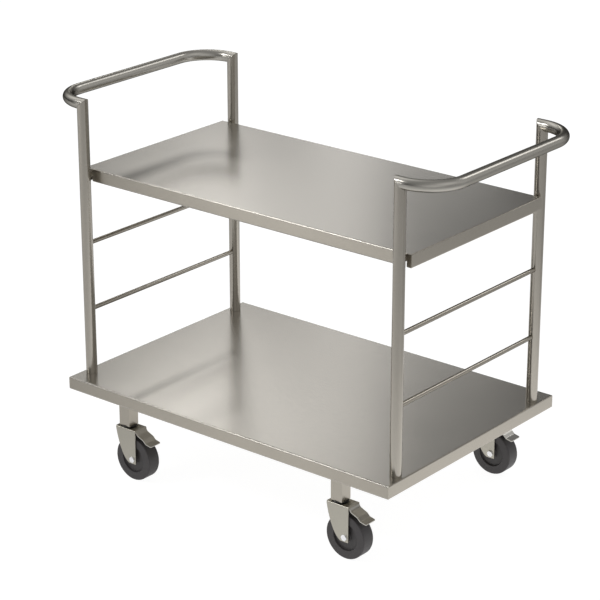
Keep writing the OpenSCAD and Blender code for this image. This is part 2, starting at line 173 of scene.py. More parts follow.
# %% Satin steel
GRAIN_ALONG_X = (0.22, 1.0, 1.0)
GRAIN_ALONG_Y = (1.0, 0.22, 1.0)
GRAIN_ALONG_Z = (1.0, 1.0, 0.12)
NO_GRAIN = (1.0, 1.0, 1.0)
GRAIN_DEPTH = 0.0005 * MM
MARKS_SCALE = 7.0
MARKS_SHADE = 0.02
SPREAD = 0.95
UPRIGHT = (0, 0, 1)


def spread_across_grain(tree, shader, across):
    """Blurs reflections in one direction of the piece, and leaves them sharper in the other."""
    own = step(tree, "ShaderNodeCombineXYZ", dict(zip("XYZ", across)))[0]
    tangent = step(
        tree, "ShaderNodeVectorTransform", {0: own},
        vector_type="VECTOR", convert_from="OBJECT", convert_to="WORLD")[0]
    feed(tree, shader, {"Tangent": tangent, "Anisotropic": SPREAD})


def satin_steel(name, color, roughness, grain, grain_scale=620.0, speckle=0.03,
                blur_change=0.03, across=None, rim=1.0):
    """Ground stainless steel with its grain drawn out along one axis."""
    material, tree, shader = new_material(name)
    fine = stretched_noise(tree, grain, grain_scale, detail=2.0, roughness=0.7)
    wide = stretched_noise(tree, NO_GRAIN, MARKS_SCALE, detail=3.0, roughness=0.55)
    light = ramp(tree, fine, 1 - speckle, 1 + speckle)
    marks = ramp(tree, wide, 1 - MARKS_SHADE, 1 + MARKS_SHADE)
    feed(tree, shader, {
        "Base Color": shaded(tree, color, math_node(tree, "MULTIPLY", light, marks)),
        "Metallic": 1.0,
        "Roughness": ramp(
            tree, wide, roughness * (1 - blur_change), roughness * (1 + blur_change)),
        "Specular Tint": (rim, rim, rim, 1)})
    if across:
        spread_across_grain(tree, shader, across)
    bump(tree, shader, fine, GRAIN_DEPTH)
    return material


STEEL = (0.432, 0.401, 0.349)
ROUND_RIM = 0.15
sheet_steel = satin_steel(
    "sheet_steel", (0.435, 0.413, 0.372), 0.235, GRAIN_ALONG_X, 330.0, 0.05)
side_steel = satin_steel(
    "sheet_steel_side", STEEL, 0.40, GRAIN_ALONG_X, blur_change=0.0, across=UPRIGHT)
end_steel = satin_steel("sheet_steel_end", STEEL, 0.24, GRAIN_ALONG_Z)
tube_steel = satin_steel("tube_steel", (0.480, 0.449, 0.396), 0.24, GRAIN_ALONG_Z)
rod_steel = satin_steel("rod_steel", STEEL, 0.24, GRAIN_ALONG_Y, rim=ROUND_RIM)
handle_steel = satin_steel(
    "handle_steel", (0.50, 0.48, 0.436), 0.25, GRAIN_ALONG_Y, rim=ROUND_RIM)
rail_steel = satin_steel(
    "rail_steel", (0.38, 0.36, 0.31), 0.42, GRAIN_ALONG_Y, 260.0, 0.06, blur_change=0.10)
fork_steel = satin_steel("fork_steel", (0.44, 0.42, 0.366), 0.33, NO_GRAIN, 700.0, 0.04)
weld_steel = satin_steel("weld_steel", (0.33, 0.31, 0.27), 0.38, NO_GRAIN, 420.0, 0.12)
# The pedal is the fork's steel painted lighter, for the light that falls on the pedal.
pedal_steel = satin_steel("pedal_steel", (0.52, 0.505, 0.47), 0.33, NO_GRAIN, 700.0, 0.04)
print("steels", [m.name for m in bpy.data.materials if "steel" in m.name])

# %% [markdown]
# The small parts have their own finishes: bright zinc on the bolts and balls, a black plug, a
# race painted near-black for the shade in the gap under each post, and the dark grey moulded
# wheel, which is satin all over with a faint mottle. One function makes them all, because they
# differ only in colour, in how blurred and how metallic they are, and in how coarse and strong
# their mottle is.

# %% Small part finishes
MOTTLE_DEPTH = 0.02 * MM
BLUR_MOTTLE = 0.1


def plain_finish(name, color, roughness, metallic, mottle, scale):
    """A moulded, painted or plated finish with a slight mottle."""
    material, tree, shader = new_material(name)
    noise = stretched_noise(tree, NO_GRAIN, scale)
    feed(tree, shader, {
        "Base Color": shaded(tree, color, ramp(tree, noise, 1 - mottle, 1 + mottle)),
        "Metallic": metallic,
        "Roughness": ramp(
            tree, noise, roughness * (1 - BLUR_MOTTLE), roughness * (1 + BLUR_MOTTLE))})
    bump(tree, shader, noise, MOTTLE_DEPTH)
    return material


bright_zinc = plain_finish("bright_zinc", (0.92, 0.92, 0.94), 0.42, 1.0, 0.02, 300.0)
dull_zinc = plain_finish("dull_zinc", (0.68, 0.68, 0.66), 0.40, 1.0, 0.04, 300.0)
ball_steel = plain_finish("ball_steel", (0.85, 0.85, 0.87), 0.12, 1.0, 0.01, 300.0)
# The race is painted near-black for the shade that fills the gap under each post.
race_painted_shade_black = plain_finish("race_painted_shade_black", (0.02, 0.02, 0.02), 0.35, 0.0, 0.10, 200.0)
plug_black = plain_finish("plug_black", (0.03, 0.03, 0.03), 0.55, 0.0, 0.08, 250.0)
tyre_grey = plain_finish("tyre_grey", (0.048, 0.0435, 0.0445), 0.50, 0.0, 0.08, 160.0)
core_grey = plain_finish("core_grey", (0.0435, 0.0395, 0.04), 0.46, 0.0, 0.06, 120.0)
print("finishes", len(bpy.data.materials))

# %% [markdown]
# Every piece is built in its place, as a mesh on an object at the origin. `finish_piece`
# gives it its material and its body. Rounded edges could be modelled by hand, but a Bevel
# modifier cuts them all alike, and a Weighted Normal modifier then keeps the large faces flat
# to the light. Both are turned into plain mesh.

# %% Piece helpers
EDGE_STEPS = 2
LARGE_FACES_LEAD = 100
SAME_POINT = 0.002 * MM
FLAT_WITHIN = math.radians(0.4)


def settle(piece):
    """Turns a piece's modifiers into plain mesh."""
    evaluated = piece.evaluated_get(bpy.context.evaluated_depsgraph_get())
    mesh = bpy.data.meshes.new_from_object(evaluated)
    piece.modifiers.clear()
    old = piece.data
    piece.data = mesh
    bpy.data.meshes.remove(old)
    mesh.name = piece.name


def finish_piece(name, bm, body, materials, replaced, edge=0.0, sharp=35):
    """Makes the object from a bmesh, softens its edges, and rides it on its body."""
    bmesh.ops.recalc_face_normals(bm, faces=bm.faces)
    for face in bm.faces:
        face.smooth = True
    for side in bm.edges:
        side.smooth = len(side.link_faces) == 2 and side.calc_face_angle() < math.radians(sharp)
    mesh = bpy.data.meshes.new(name)
    bm.to_mesh(mesh)
    bm.free()
    piece = bpy.data.objects.new(name, mesh)
    bpy.context.scene.collection.objects.link(piece)
    for material in materials:
        mesh.materials.append(material)
    if edge:
        bevel = piece.modifiers.new("edge", "BEVEL")
        bevel.width = edge
        bevel.segments = EDGE_STEPS
        bevel.limit_method = "ANGLE"
        bevel.angle_limit = math.radians(sharp)
    weighted = piece.modifiers.new("normals", "WEIGHTED_NORMAL")
    weighted.keep_sharp = True
    weighted.weight = LARGE_FACES_LEAD
    settle(piece)
    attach(piece, body)
    if replaced:
        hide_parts(*replaced)
    return piece


def polished(node, body, material, edge=0.0):
    """A copy of a CAD node with its loose triangles joined and its edges softened."""
    bm = bmesh.new()
    bm.from_mesh(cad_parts[node].data)
    bmesh.ops.remove_doubles(bm, verts=bm.verts, dist=SAME_POINT)
    bmesh.ops.dissolve_limit(
        bm, angle_limit=FLAT_WITHIN, verts=bm.verts, edges=bm.edges,
        use_dissolve_boundaries=False)
    return finish_piece(node + "_visual", bm, body, [material], [node], edge)


print("piece helpers ready")

# %% [markdown]
# Some shapes follow a path or repeat many times: bent tubes, balls round a race, the ripples
# of a weld, a screw thread. Geometry Nodes make these. A tree takes a path and a few named
# sizes, and ends in real geometry with its material. `grow` runs a tree on one path and
# hands back the plain shape, so nothing live is left on the piece.

# %% Geometry Nodes helpers
def new_tree(name, sizes):
    """A tree with a path in, a shape out and an input for each size, and its inputs' outputs."""
    tree = bpy.data.node_groups.new(name, "GeometryNodeTree")
    for label, kind in [("Path", "Geometry")] + sizes + [("Finish", "Material")]:
        tree.interface.new_socket(label, in_out="INPUT", socket_type="NodeSocket" + kind)
    tree.interface.new_socket("Shape", in_out="OUTPUT", socket_type="NodeSocketGeometry")
    return tree, tree.nodes.new("NodeGroupInput").outputs


def end_tree(tree, shape, finish):
    """Every tree ends the same way: real geometry that wears its material."""
    real = step(tree, "GeometryNodeRealizeInstances", {"Geometry": shape})[0]
    dressed = step(tree, "GeometryNodeSetMaterial", {"Geometry": real, "Material": finish})[0]
    tree.links.new(dressed, tree.nodes.new("NodeGroupOutput").inputs[0])


def grow(tree, points, edges, values):
    """Runs a tree on one path, and returns what it made as a bmesh."""
    mesh = bpy.data.meshes.new(tree.name)
    mesh.from_pydata(points, edges, [])
    path = bpy.data.objects.new(tree.name, mesh)
    bpy.context.scene.collection.objects.link(path)
    modifier = path.modifiers.new(tree.name, "NODES")
    modifier.node_group = tree
    for socket in tree.interface.items_tree:
        if socket.in_out == "INPUT" and socket.name in values:
            modifier[socket.identifier] = values[socket.name]
    settle(path)
    bm = bmesh.new()
    bm.from_mesh(path.data)
    bpy.data.objects.remove(path)
    return bm


def add_shape(bm, other):
    """Adds one bmesh to another."""
    mesh = bpy.data.meshes.new("shape")
    other.to_mesh(mesh)
    other.free()
    bm.from_mesh(mesh)
    bpy.data.meshes.remove(mesh)


print("Geometry Nodes helpers ready")

# %% [markdown]
# A shelf is one sheet with all four sides folded down and a narrow lip folded in. A flat box
# with its edges rounded would look the same from above, but it would have no lips and no
# hollow underneath. The corners are mitred, so the whole tray is a section swept round a
# rectangle: each point of the section becomes a ring of four corners, further in or further
# down. The ends get the material whose grain runs down, because the grain folds over with
# the sheet.

# %% Folded trays
LIP = 11 * MM
SHEET = 1.2 * MM
FOLD_RADIUS = 3.0 * MM
FOLD_STEPS = 6
TRAY_STEELS = [sheet_steel, end_steel, side_steel]
ON_TOP, ON_END, ON_SIDE = range(3)


def fold(u, v, radius, start, end):
    """Points round a fold: u is inwards from the outer face, v is up from the surface."""
    angles = [math.radians(start + (end - start) * i / FOLD_STEPS) for i in range(FOLD_STEPS + 1)]
    return [(u + radius * math.cos(a), v + radius * math.sin(a)) for a in angles]


def tray_section(drop):
    """The section of a shelf's edge, from the top surface round the lip to the underside."""
    r, inner = FOLD_RADIUS, FOLD_RADIUS - SHEET
    return (
        fold(r, -r, r, 90, 180) + fold(r, r - drop, r, 180, 270)
        + [(LIP, -drop), (LIP, SHEET - drop)]
        + fold(r, r - drop, inner, 270, 180) + fold(r, -r, inner, 180, 90))


def tray_mesh(node):
    """A tray as rings of four corners, closed by the surface and the underside."""
    low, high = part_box(node)
    bm = bmesh.new()
    rings = []
    for u, v in tray_section(high.z - low.z):
        corners = [(low.x + u, low.y + u), (high.x - u, low.y + u),
                   (high.x - u, high.y - u), (low.x + u, high.y - u)]
        rings.append([bm.verts.new((x, y, high.z + v)) for x, y in corners])
    bm.faces.new(rings[0])
    bm.faces.new(rings[-1])
    for ring, following in zip(rings, rings[1:]):
        is_flank = ring is rings[FOLD_STEPS]
        for i in range(4):
            j = (i + 1) % 4
            face = bm.faces.new((ring[i], ring[j], following[j], following[i]))
            if i % 2:
                face.material_index = ON_END
            else:
                face.material_index = ON_SIDE if is_flank else ON_TOP
    return bm


base_shelf = finish_piece(
    "base_shelf_visual", tray_mesh("base_shelf"), "frame", TRAY_STEELS, ["base_shelf"])
print("base shelf faces", len(base_shelf.data.polygons))

# %% [markdown]
# The top shelf has four slots in its long sides, where it was let down over the carrying
# rods. A slot is open below and round at its top. The tray's rings could be split round each
# slot, but a Boolean modifier cuts all four at once and leaves the tray simple. Its cutter is
# made of round topped blocks, and is deleted afterwards.

# %% Top shelf
SLOT_GAP = 0.1 * MM
CUT_PAST = 1 * MM


def round_topped_block(bm, x, y, z, radius, depth, half_length):
    """A block along Y with a half round top at height z, reaching down by depth."""
    outline = [(radius * math.cos(math.radians(a)), radius * math.sin(math.radians(a)))
               for a in range(0, 181, 10)]
    outline += [(-radius, -depth), (radius, -depth)]
    sides = [[bm.verts.new((x + px, y + s * half_length, z + pz)) for px, pz in outline]
             for s in (-1, 1)]
    bm.faces.new(sides[0])
    bm.faces.new(sides[1])
    for i in range(len(outline)):
        j = (i + 1) % len(outline)
        bm.faces.new((sides[0][i], sides[0][j], sides[1][j], sides[1][i]))


def slot_cutter(node, rod_nodes):
    """A block for each place where a rod passes a long side of the tray."""
    low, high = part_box(node)
    bm = bmesh.new()
    for rod in rod_nodes:
        rod_low, rod_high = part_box(rod)
        centre = (rod_low + rod_high) / 2
        radius = (rod_high.z - rod_low.z) / 2 + SLOT_GAP
        for y in (low.y, high.y):
            round_topped_block(
                bm, centre.x, y, centre.z, radius, centre.z - low.z + CUT_PAST, LIP + CUT_PAST)
    return bm


def plain_object(name, bm):
    """An object that only lives until its mesh has been worked on."""
    bmesh.ops.recalc_face_normals(bm, faces=bm.faces)
    mesh = bpy.data.meshes.new(name)
    bm.to_mesh(mesh)
    bm.free()
    piece = bpy.data.objects.new(name, mesh)
    bpy.context.scene.collection.objects.link(piece)
    return piece


def slotted(node, rod_nodes):
    """The tray with a slot in both long sides for each rod."""
    tray = plain_object("tray", tray_mesh(node))
    cutter = plain_object("cutter", slot_cutter(node, rod_nodes))
    for material in TRAY_STEELS:
        tray.data.materials.append(material)
    boolean = tray.modifiers.new("slots", "BOOLEAN")
    boolean.operation = "DIFFERENCE"
    boolean.object = cutter
    boolean.solver = "EXACT"
    settle(tray)
    bm = bmesh.new()
    bm.from_mesh(tray.data)
    bpy.data.objects.remove(tray)
    bpy.data.objects.remove(cutter)
    return bm


top_shelf = finish_piece(
    "top_shelf_visual", slotted("top_shelf", ["left_shelf_rod", "right_shelf_rod"]), "frame",
    TRAY_STEELS, ["top_shelf"])
print("top shelf faces", len(top_shelf.data.polygons))

# %% [markdown]
# All the round pieces are lengths of tube. A curve object with a bevel would do for one, but
# its sizes are hidden in its settings. The tree `bent_tube` has them as named inputs: it
# turns a line of points into a curve, rounds its corners the way a bending tool does, and
# carries a circle along it. Its ends are closed, because the real ones are closed by the
# welds.

# %% Tubes
ROUND_STEPS = 48
BEND_STEPS = 22
BEND_RADIUS = 82.5 * MM

tube_tree, given = new_tree("bent_tube", [
    ("Tube radius", "Float"), ("Bend radius", "Float"),
    ("Bend steps", "Int"), ("Round steps", "Int")])
line = step(tube_tree, "GeometryNodeMeshToCurve", {"Mesh": given["Path"]})[0]
bent = step(tube_tree, "GeometryNodeFilletCurve", {
    "Curve": line, "Count": given["Bend steps"], "Radius": given["Bend radius"]}, mode="POLY")[0]
circle = step(tube_tree, "GeometryNodeCurvePrimitiveCircle", {
    "Resolution": given["Round steps"], "Radius": given["Tube radius"]})[0]
tube = step(tube_tree, "GeometryNodeCurveToMesh", {
    "Curve": bent, "Profile Curve": circle, "Fill Caps": True})[0]
end_tree(tube_tree, tube, given["Finish"])


def tube_along(points, radius, finish, bend=0.0, steps=ROUND_STEPS):
    """A round tube through a row of points, with its corners bent to one radius."""
    edges = [(i, i + 1) for i in range(len(points) - 1)]
    return grow(tube_tree, points, edges, {
        "Tube radius": radius, "Bend radius": bend, "Bend steps": BEND_STEPS,
        "Round steps": steps, "Finish": finish})


def cut_off(bm, point, normal):
    """Removes what lies beyond a plane and closes the cut."""
    geometry = list(bm.verts) + list(bm.edges) + list(bm.faces)
    cut = bmesh.ops.bisect_plane(
        bm, geom=geometry, plane_co=point, plane_no=normal, clear_outer=True)
    edges = [e for e in cut["geom_cut"] if isinstance(e, bmesh.types.BMEdge)]
    bmesh.ops.holes_fill(bm, edges=edges)


def tube_axis(node):
    """Radius, centre, foot and top of an upright tube, measured off the frame."""
    low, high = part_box(node)
    return (high.y - low.y) / 2, (low + high) / 2, low.z, high.z


print("tube tree nodes", len(tube_tree.nodes))

# %% [markdown]
# A handle is one tube, bent twice and cut at 45 degrees where it meets the uprights. It could
# be joined from straights and quarter rings, but one path keeps the highlight unbroken round
# the bends. The path is measured off the frame: a short leg, a bend, the long grip, and the
# same again backwards. The legs run past the mitre and are then cut off by its plane.

# %% Handles
MITRE_EDGE = 0.3 * MM
MITRE_SHARP = 50


def handle(name, side):
    """The handle at one end: side is -1 on the left and 1 on the right."""
    tube, axis, _, top = tube_axis(f"front_{name}_upright")
    low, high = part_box(name + "_handle")
    height = top - tube
    reach_x = (high.x if side > 0 else low.x) - side * tube
    leg_y = high.y - tube
    past = axis.x - side * 2 * tube
    points = [(past, -leg_y, height), (reach_x, -leg_y, height),
              (reach_x, leg_y, height), (past, leg_y, height)]
    bm = tube_along(points, tube, handle_steel, BEND_RADIUS)
    cut_off(bm, (axis.x, 0, height), (-side, 0, -1))
    return finish_piece(
        name + "_handle_visual", bm, "frame", [handle_steel], [name + "_handle"],
        MITRE_EDGE, MITRE_SHARP)


handles = [handle("left", -1), handle("right", 1)]
print("handle faces", [len(h.data.polygons) for h in handles])

# %% [markdown]
# The uprights stand on the base shelf and take the handle's mitre at their tops. The cross
# rods are coped: each end follows the curve of the upright it meets. A Boolean could cut
# that, but moving the end vertices onto the tube's surface gives the same line and leaves no
# slivers.

# %% Uprights and rods
ROD_ROUND_STEPS = 24


def upright(corner, side):
    """One upright, whose mitred top faces away from the middle of the trolley."""
    tube, axis, foot, top = tube_axis(corner + "_upright")
    points = [(axis.x, axis.y, foot), (axis.x, axis.y, top + tube)]
    bm = tube_along(points, tube, tube_steel)
    cut_off(bm, (axis.x, 0, top - tube), (side, 0, 1))
    return finish_piece(
        corner + "_upright_visual", bm, "frame", [tube_steel], [corner + "_upright"],
        MITRE_EDGE, MITRE_SHARP)


def cross_rod(name, end):
    """A rod from the front upright to the rear one, with both its ends coped."""
    low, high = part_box(name)
    radius = (high.z - low.z) / 2
    centre = (low + high) / 2
    tube, axis, _, _ = tube_axis(f"rear_{end}_upright")
    points = [(centre.x, y * axis.y, centre.z) for y in (-1, 1)]
    bm = tube_along(points, radius, rod_steel, steps=ROD_ROUND_STEPS)
    for vertex in bm.verts:
        reach = axis.y - math.sqrt(tube ** 2 - (vertex.co.x - centre.x) ** 2)
        vertex.co.y = math.copysign(reach, vertex.co.y)
    return finish_piece(name + "_visual", bm, "frame", [rod_steel], [name])


uprights = [upright(f"{row}_{end}", side)
            for row in ("front", "rear") for end, side in (("left", -1), ("right", 1))]
rods = [cross_rod(f"{end}_{level}_rod", end)
        for end in ("left", "right") for level in ("lower", "middle", "shelf")]
print("uprights", len(uprights), "rods", len(rods))

# %% [markdown]
# The posts are drawn square tube, which has rounded corners. A solid block would look the
# same from outside, but the caster's plug sits in the open lower end, so the wall has to be
# there. Each post is two square loops with round corners, one inside the other, joined top
# and bottom.

# %% Posts
POST_WALL = 2 * MM
POST_CORNER = 1.2 * MM
POST_INNER_CORNER = 0.5 * MM
CORNER_STEPS = 4
CORNERS = ("front_left", "front_right", "rear_left", "rear_right")


def rounded_square(half, corner):
    """Points round a square with round corners, one quarter after the other."""
    diagonal = (half - corner) * math.sqrt(2)
    points = []
    for quarter in range(4):
        turn = math.radians(90 * quarter)
        cx, cy = diagonal * math.cos(turn + math.pi / 4), diagonal * math.sin(turn + math.pi / 4)
        for i in range(CORNER_STEPS + 1):
            a = turn + math.radians(90 * i / CORNER_STEPS)
            points.append((cx + corner * math.cos(a), cy + corner * math.sin(a)))
    return points


def post(corner):
    """A post as an outer and an inner wall, joined by its two end faces."""
    low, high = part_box(corner + "_post")
    centre = (low + high) / 2
    half = (high.x - low.x) / 2
    bm = bmesh.new()
    loops = []
    for inset, radius in ((0, POST_CORNER), (POST_WALL, POST_INNER_CORNER)):
        for z in (low.z, high.z):
            loops.append([bm.verts.new((centre.x + x, centre.y + y, z))
                          for x, y in rounded_square(half - inset, radius)])
    outer_low, outer_high, inner_low, inner_high = loops
    for a, b in ((outer_low, outer_high), (outer_high, inner_high),
                 (inner_high, inner_low), (inner_low, outer_low)):
        for i in range(len(a)):
            j = (i + 1) % len(a)
            bm.faces.new((a[i], a[j], b[j], b[i]))
    return finish_piece(corner + "_post_visual", bm, "frame", [end_steel], [corner + "_post"])


posts = [post(corner) for corner in CORNERS]
print("posts", len(posts))

# %% [markdown]
# Each post, and each rail under the base shelf, is welded on. A weld bead is a row of small
# overlapping ripples, left as the molten pool is moved along. Placing hundreds of ripples by
# hand would be slow, so the tree `weld_bead` sets out points along a path and puts a
# flattened bead on each, turned along the path, with a small random change of size from a
# fixed seed. The beads are hidden behind the shelf's edge in the photograph, so their size is
# a fair guess.

# %% Weld bead tree
BEAD_LEAST = (0.88, 0.88, 0.80)
BEAD_MOST = (1.08, 1.08, 1.0)

weld_tree, given = new_tree("weld_bead", [
    ("Bead radius", "Float"), ("Bead step", "Float"), ("Seed", "Int")])
line = step(weld_tree, "GeometryNodeMeshToCurve", {"Mesh": given["Path"]})[0]
spaced = step(weld_tree, "GeometryNodeCurveToPoints", {
    "Curve": line, "Length": given["Bead step"]}, mode="LENGTH")
ripple = step(weld_tree, "GeometryNodeMeshUVSphere", {
    "Segments": 8, "Rings": 6, "Radius": given["Bead radius"]})[0]
change = step(weld_tree, "FunctionNodeRandomValue", {
    0: BEAD_LEAST, 1: BEAD_MOST, "Seed": given["Seed"]}, data_type="FLOAT_VECTOR")[0]
beads = step(weld_tree, "GeometryNodeInstanceOnPoints", {
    "Points": spaced["Points"], "Instance": ripple, "Rotation": spaced["Rotation"],
    "Scale": change})[0]
end_tree(weld_tree, beads, given["Finish"])
print("weld tree nodes", len(weld_tree.nodes))

# %% [markdown]
# The welds run right round the top of each post, and only in short stretches along the
# rails, because a long weld would pull the thin shelf out of flat. All of them go into one
# path with many lines, so the tree runs once. The shelf's underside covers the upper half of
# each bead, which is pressed flat against it.

# %% Welds under the base shelf
BEAD_RADIUS = 1.8 * MM
BEAD_STEP = 1.7 * MM
WELD_SEED = 7
RAIL_WELD_HALF = 15 * MM
RAIL_WELD_PLACES = (0.12, 0.5, 0.88)
RAILS_ALONG_Y = ("left_cross_rail", "right_cross_rail")
shelf_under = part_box("front_left_post")[1].z


def post_weld(corner):
    """The corners of a closed line round the top of a post, and its edges."""
    low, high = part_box(corner + "_post")
    centre, half = (low + high) / 2, (high.x - low.x) / 2
    points = [(centre.x + sx * half, centre.y + sy * half, shelf_under)
              for sx, sy in ((-1, -1), (1, -1), (1, 1), (-1, 1))]
    return points, [(0, 1), (1, 2), (2, 3), (3, 0)]


def rail_weld(rail):
    """Short lines along both sides of a rail, at its middle and near its ends."""
    low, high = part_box(rail)
    points = []
    for share in RAIL_WELD_PLACES:
        middle = low + (high - low) * share
        for side in (low, high):
            for end in (-RAIL_WELD_HALF, RAIL_WELD_HALF):
                if rail in RAILS_ALONG_Y:
                    points.append((side.x, middle.y + end, shelf_under))
                else:
                    points.append((middle.x + end, side.y, shelf_under))
    return points, [(i, i + 1) for i in range(0, len(points), 2)]


def one_path(paths):
    """Joins several lines of points and edges into one set."""
    points, edges = [], []
    for more_points, more_edges in paths:
        edges += [(a + len(points), b + len(points)) for a, b in more_edges]
        points += more_points
    return points, edges


points, edges = one_path(
    [post_weld(corner) for corner in CORNERS]
    + [rail_weld(rail) for rail in (*RAILS_ALONG_Y, "centre_rail")])
bm = grow(weld_tree, points, edges, {
    "Bead radius": BEAD_RADIUS, "Bead step": BEAD_STEP, "Seed": WELD_SEED,
    "Finish": weld_steel})
for vertex in bm.verts:
    vertex.co.z = min(vertex.co.z, shelf_under)
welds = finish_piece("weld_beads", bm, "frame", [weld_steel], [], sharp=80)
print("weld beads faces", len(welds.data.polygons))

# %% [markdown]
# The race holds a ring of steel balls. Twelve spheres could be added one by one, but a ring
# is a rule, so the tree `ball_ring` makes a circle of points round the given centre and puts
# a ball on each. One ring belongs to each caster, so it turns with the fork.

# %% Race balls
BALL_COUNT = 12

ball_tree, given = new_tree("ball_ring", [
    ("Count", "Int"), ("Ring radius", "Float"), ("Ball radius", "Float")])
ring = step(ball_tree, "GeometryNodeMeshCircle", {
    "Vertices": given["Count"], "Radius": given["Ring radius"]})[0]
placed = step(ball_tree, "GeometryNodeInstanceOnPoints", {
    "Points": given["Path"], "Instance": ring})[0]
spots = step(ball_tree, "GeometryNodeRealizeInstances", {"Geometry": placed})[0]
ball = step(ball_tree, "GeometryNodeMeshIcoSphere", {
    "Radius": given["Ball radius"], "Subdivisions": 3})[0]
balls = step(ball_tree, "GeometryNodeInstanceOnPoints", {"Points": spots, "Instance": ball})[0]
end_tree(ball_tree, balls, given["Finish"])

for corner in CORNERS:
    low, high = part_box(corner + "_race_balls")
    ball_radius = (high.z - low.z) / 2
    bm = grow(ball_tree, [(low + high) / 2], [], {
        "Count": BALL_COUNT, "Ring radius": (high.x - low.x) / 2 - ball_radius,
        "Ball radius": ball_radius, "Finish": ball_steel})
    finish_piece(corner + "_race_balls_visual", bm, corner + "_swivel", [ball_steel],
                 [corner + "_race_balls"], sharp=80)
print("balls in each race", BALL_COUNT)

# %% [markdown]
# The axle's shank and sleeve, the pedal's pivot pin and the wheels are all turned shapes, as
# made on a lathe. Each is a profile of radius against distance along the axle, carried round
# it in small steps. The Screw modifier would do the same, but here each profile is built from
# the frame's sizes, and the points that meet on the axis are merged at once.

# %% Turned shapes
AXIS_JOIN = 0.001 * MM


def turned(profile, centre, steps=64):
    """A lathe shape about Y: its profile is a closed loop of (radius, distance along)."""
    bm = bmesh.new()
    rings = []
    for radius, along in profile:
        ring = []
        for k in range(steps):
            a = 2 * math.pi * k / steps
            offset = Vector((radius * math.cos(a), along, radius * math.sin(a)))
            ring.append(bm.verts.new(centre + offset))
        rings.append(ring)
    for ring, following in zip(rings, rings[1:] + rings[:1]):
        for k in range(steps):
            m = (k + 1) % steps
            bm.faces.new((ring[k], ring[m], following[m], following[k]))
    bmesh.ops.remove_doubles(bm, verts=bm.verts, dist=AXIS_JOIN)
    return bm


def rod_profile(radius, start, end, chamfer):
    """The profile of a round bar with chamfered ends, from its axis and back to it."""
    return [(0, start), (radius - chamfer, start), (radius, start + chamfer),
            (radius, end - chamfer), (radius - chamfer, end), (0, end)]


print("turned shapes ready")

# %% [markdown]
# A short stretch of thread shows past each nut. Rings one behind the other would look nearly
# the same, but a real thread is one spiral, and the end of it shows. The tree `screw_thread`
# carries a triangle along a spiral and turns it to lie along the axle.

# %% Screw thread
QUARTER_BACK = (-math.pi / 2, 0, 0)

thread_tree, given = new_tree("screw_thread", [
    ("Turns", "Float"), ("Pitch", "Float"), ("Thread radius", "Float"), ("Depth", "Float")])
rise = math_node(thread_tree, "MULTIPLY", given["Turns"], given["Pitch"])
spiral = step(thread_tree, "GeometryNodeCurveSpiral", {
    "Resolution": 32, "Rotations": given["Turns"], "Start Radius": given["Thread radius"],
    "End Radius": given["Thread radius"], "Height": rise})[0]
tooth = step(thread_tree, "GeometryNodeCurvePrimitiveCircle", {
    "Resolution": 3, "Radius": given["Depth"]})[0]
thread = step(thread_tree, "GeometryNodeCurveToMesh", {
    "Curve": spiral, "Profile Curve": tooth, "Fill Caps": True})[0]
placed = step(thread_tree, "GeometryNodeInstanceOnPoints", {
    "Points": given["Path"], "Instance": thread, "Rotation": QUARTER_BACK})[0]
end_tree(thread_tree, placed, given["Finish"])
print("thread tree nodes", len(thread_tree.nodes))

# %% [markdown]
# A bolt's head and its nut are hexagons whose corners are cut by a cone, so that each flat
# ends in a curve. A plain six sided prism looks like a toy, and a bevel would cut the flats
# and the corners alike. Here a ring of points follows the hexagon, and each point drops along
# the cone by as much as it stands outside the circle of the face.

# %% Hexagons
HEX_CORNER = 7.6 * MM
HEX_STEPS = 60
HEX_CIRCLE = 0.96
CHAMFER_SLOPE = math.tan(math.radians(30))


def hexagon(centre, start, face, chamfer_both=False):
    """A hexagonal prism along Y, from y = start to its chamfered face, flats top and bottom."""
    apothem = HEX_CORNER * math.cos(math.pi / 6)
    circle = HEX_CIRCLE * apothem
    away = math.copysign(1, face - start)
    bm = bmesh.new()
    rings = [[] for _ in range(4)]
    for k in range(HEX_STEPS):
        a = 2 * math.pi * k / HEX_STEPS
        corner = apothem / math.cos((a + math.pi / 6) % (math.pi / 3) - math.pi / 6)
        cut = (corner - circle) * CHAMFER_SLOPE
        places = [(circle, start), (corner, start + away * cut if chamfer_both else start),
                  (corner, face - away * cut), (circle, face)]
        for ring, (radius, along) in zip(rings, places):
            ring.append(bm.verts.new(
                centre + Vector((radius * math.sin(a), along, radius * math.cos(a)))))
    for ring, following in zip(rings, rings[1:]):
        for k in range(HEX_STEPS):
            m = (k + 1) % HEX_STEPS
            bm.faces.new((ring[k], ring[m], following[m], following[k]))
    bm.faces.new(rings[0])
    bm.faces.new(rings[-1])
    return bm


print("hexagon across its flats", round(2 * HEX_CORNER * math.cos(math.pi / 6), 5))

# %% [markdown]
# The axle is an 8 mm bolt with a thin head and a nut, with a spacer sleeve between the fork's
# cheeks for the wheel to turn on. The pedal's pivot pin is part of the same node in the frame.
# They could be five pieces, but nothing parts them on the real caster, so they are built as
# one. The head's face is the node's lowest y, and the bolt's end is its highest.

# %% Axle bolts
BOLT_RADIUS = 4 * MM
SHANK_RADIUS = BOLT_RADIUS - 0.3 * MM
SHANK_CHAMFER = 0.6 * MM
SHANK_START = 1 * MM
BOLT_PAST_NUT = 2 * MM
FORK_SHEET = 2 * MM
SLEEVE_RADIUS = 6.5 * MM
PIVOT_RADIUS = 2.5 * MM
PIVOT_REACH = 13.2 * MM
PIVOT_CHAMFER = 0.4 * MM
HEAD_HEIGHT = 3 * MM
NUT_HEIGHT = 6 * MM
THREAD_PITCH = 1.25 * MM
THREAD_DEPTH = 0.35 * MM
THREAD_TURNS = 1.6
THREAD_SHOWN = 2.6 * MM


def sleeve_profile(middle, half):
    """The profile of the spacer sleeve between the fork's cheeks."""
    return [(BOLT_RADIUS, middle - half), (SLEEVE_RADIUS, middle - half),
            (SLEEVE_RADIUS, middle + half), (BOLT_RADIUS, middle + half)]


